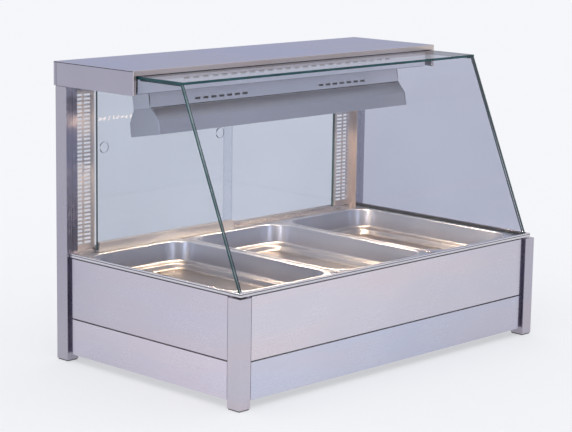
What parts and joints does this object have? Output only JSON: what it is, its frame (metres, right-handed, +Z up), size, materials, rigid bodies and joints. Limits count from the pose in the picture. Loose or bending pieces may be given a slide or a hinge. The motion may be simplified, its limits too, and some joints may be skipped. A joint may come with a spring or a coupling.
{
  "type": "hot food display case",
  "caption": "Heated countertop display case: steel base with drop-in pans, sloping glass enclosure, sliding rear doors, canopy and overhead lamp unit.",
  "frame": {"origin": "on the floor under the middle of the whole case box", "axes": "+X to the right as the customer sees it, -Y towards the customer, +Z up"},
  "size_m": [1.03, 0.626, 0.703],
  "materials": {
    "steel": "fine satin stainless sheet",
    "deck_steel": "bright satin stainless sheet",
    "pan_steel": "pressed stainless pans, satin",
    "lamp_steel": "satin stainless sheet",
    "element": "heat-tinted sheathed element",
    "aluminium": "satin anodised extrusion",
    "glass": "clear toughened glass with green edges",
    "quartz": "clear quartz lamp tube",
    "ceramic": "unglazed ceramic",
    "black_plastic": "fine textured",
    "knob_plastic": "satin, ribbed",
    "red_plastic": "translucent gloss",
    "rubber": "matte"
  },
  "bodies": {
    "cabinet": {"chassis": "steel", "base_tray": "steel", "front_panel_lower": "steel", "front_panel_upper": "steel", "left_panel_lower": "steel", "left_panel_upper": "steel", "right_panel_lower": "steel", "right_panel_upper": "steel", "rear_panel_lower": "steel", "control_panel": "steel", "post_front_left": "steel", "post_front_right": "steel", "post_rear_left": "steel", "post_rear_right": "steel", "glass_rim": "steel", "well_tank": "steel", "stile_left": "steel", "stile_right": "steel", "door_track_bottom": "steel", "door_track_top": "steel", "canopy_shell": "steel", "canopy_underside": "steel", "canopy_fascia": "steel", "deck_plate": "deck_steel", "divider_left": "deck_steel", "divider_right": "deck_steel", "lamp_hood": "lamp_steel", "lamp_end_left": "lamp_steel", "lamp_end_right": "lamp_steel", "lamp_duct": "lamp_steel", "lamp_guard": "lamp_steel", "heating_element": "element", "front_glass": "glass", "side_glass_left": "glass", "side_glass_right": "glass", "top_glass": "glass", "lamp_tube_left": "quartz", "lamp_tube_right": "quartz", "lamp_holder": "ceramic", "foot_front_left": "black_plastic", "foot_front_right": "black_plastic", "foot_rear_left": "black_plastic", "foot_rear_right": "black_plastic", "thermostat_body": "black_plastic", "power_switch_housing": "black_plastic", "lamp_switch_housing": "black_plastic", "cable_gland": "black_plastic", "indicator_light": "red_plastic", "seal_block_left": "rubber", "seal_block_right": "rubber"},
    "door_left": {"door_glass_left": "glass", "door_rail_left": "aluminium"},
    "door_right": {"door_glass_right": "glass", "door_rail_right": "aluminium"},
    "pan_left": {"pan_left": "pan_steel"},
    "pan_middle": {"pan_middle": "pan_steel"},
    "pan_right": {"pan_right": "pan_steel"},
    "thermostat_knob": {"thermostat_knob": "knob_plastic"},
    "power_rocker": {"power_rocker": "red_plastic"},
    "lamp_rocker": {"lamp_rocker": "black_plastic"}
  },
  "joints": [
    {"name": "door_left_slide", "type": "slide", "parent": "cabinet", "child": "door_left", "axis": [1, 0, 0], "range_m": [0, 0.43]},
    {"name": "door_right_slide", "type": "slide", "parent": "cabinet", "child": "door_right", "axis": [-1, 0, 0], "range_m": [0, 0.42]},
    {"name": "pan_left_tilt", "type": "hinge", "parent": "cabinet", "child": "pan_left", "pos_m": [-0.33, -0.281, 0.2503], "axis": [1, 0, 0], "range_deg": [0, 25]},
    {"name": "pan_middle_tilt", "type": "hinge", "parent": "cabinet", "child": "pan_middle", "pos_m": [0, -0.281, 0.2503], "axis": [1, 0, 0], "range_deg": [0, 25]},
    {"name": "pan_right_tilt", "type": "hinge", "parent": "cabinet", "child": "pan_right", "pos_m": [0.33, -0.281, 0.2503], "axis": [1, 0, 0], "range_deg": [0, 25]},
    {"name": "thermostat_turn", "type": "hinge", "parent": "cabinet", "child": "thermostat_knob", "pos_m": [0.3, 0.291, 0.175], "axis": [0, -1, 0], "range_deg": [0, 270]},
    {"name": "power_rock", "type": "hinge", "parent": "cabinet", "child": "power_rocker", "pos_m": [0.185, 0.287, 0.175], "axis": [1, 0, 0], "range_deg": [0, 12]},
    {"name": "lamp_rock", "type": "hinge", "parent": "cabinet", "child": "lamp_rocker", "pos_m": [0.14, 0.287, 0.175], "axis": [1, 0, 0], "range_deg": [0, 12]}
  ]
}
